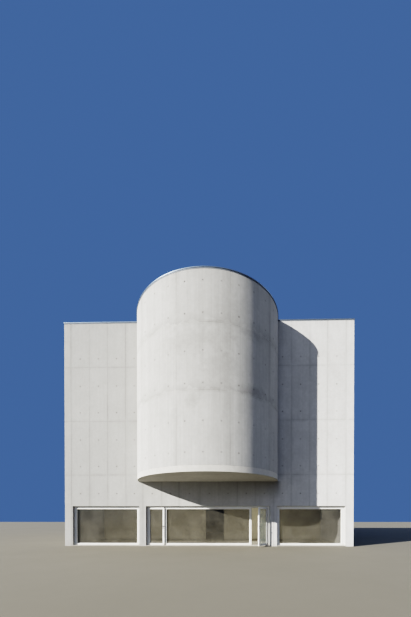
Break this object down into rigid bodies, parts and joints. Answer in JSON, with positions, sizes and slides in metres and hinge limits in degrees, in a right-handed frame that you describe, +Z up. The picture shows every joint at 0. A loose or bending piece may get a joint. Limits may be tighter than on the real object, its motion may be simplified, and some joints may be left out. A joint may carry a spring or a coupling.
{
  "type": "modern church building",
  "caption": "Square concrete church block with a half-round apse carried above a glazed entrance with two framed doors.",
  "frame": {"origin": "centre of the square block's footprint at ground level, on the ground slab's underside", "axes": "+X right along the front as seen from outside, +Y to the rear, +Z up; the apse and entrance face -Y"},
  "size_m": [15.4798, 18.8099, 11.9998],
  "materials": {
    "board_concrete": "matt cast concrete with panel joints and tie holes",
    "smooth_concrete": "smooth pale concrete",
    "floor_concrete": "worn screed",
    "roofing": "grey roofing felt",
    "coping_metal": "folded grey sheet",
    "plaster": "mottled ochre plaster",
    "white_frame": "white satin paint",
    "window_glass": "dusty clear glass",
    "handle_metal": "dark steel"
  },
  "bodies": {
    "building": {"front_lintel": "board_concrete", "front_wall_left": "board_concrete", "front_wall_right": "board_concrete", "front_pier_left": "board_concrete", "front_pier_right": "board_concrete", "front_corner_left": "board_concrete", "front_corner_right": "board_concrete", "right_wall": "board_concrete", "right_pier_front": "board_concrete", "right_pier_rear": "board_concrete", "rear_wall": "board_concrete", "rear_corner_right": "board_concrete", "rear_pier": "board_concrete", "rear_corner_left": "board_concrete", "left_wall": "board_concrete", "left_pier_rear": "board_concrete", "left_pier_front": "board_concrete", "apse_wall_1": "board_concrete", "apse_wall_2": "board_concrete", "apse_wall_3": "board_concrete", "apse_wall_4": "board_concrete", "apse_wall_5": "board_concrete", "apse_floor": "smooth_concrete", "ground_slab": "floor_concrete", "upper_floor": "floor_concrete", "roof_slab": "roofing", "apse_roof": "roofing", "coping_block": "coping_metal", "coping_apse": "coping_metal", "inner_wall_left": "plaster", "inner_wall_right": "plaster", "inner_wall_lintel": "plaster", "front_left_window_frame": "white_frame", "front_right_window_frame": "white_frame", "left_window_frame": "white_frame", "right_window_frame": "white_frame", "rear_right_window_frame": "white_frame", "rear_left_window_frame": "white_frame", "entrance_frame": "white_frame", "front_left_window_glass": "window_glass", "front_right_window_glass": "window_glass", "left_window_glass": "window_glass", "right_window_glass": "window_glass", "rear_right_window_glass": "window_glass", "rear_left_window_glass": "window_glass", "entrance_glass": "window_glass"},
    "door_left": {"door_left_leaf": "white_frame", "door_left_glass": "window_glass", "door_left_handle": "handle_metal"},
    "door_right": {"door_right_leaf": "white_frame", "door_right_glass": "window_glass", "door_right_handle": "handle_metal"}
  },
  "joints": [
    {"name": "door_left_swing", "type": "hinge", "parent": "building", "child": "door_left", "pos_m": [-3.2075, -7.579, 0], "axis": [0, 0, -1], "range_deg": [-5, 85]},
    {"name": "door_right_swing", "type": "hinge", "parent": "building", "child": "door_right", "pos_m": [3.2075, -7.579, 0], "axis": [0, 0, 1], "range_deg": [-52, 38]}
  ]
}
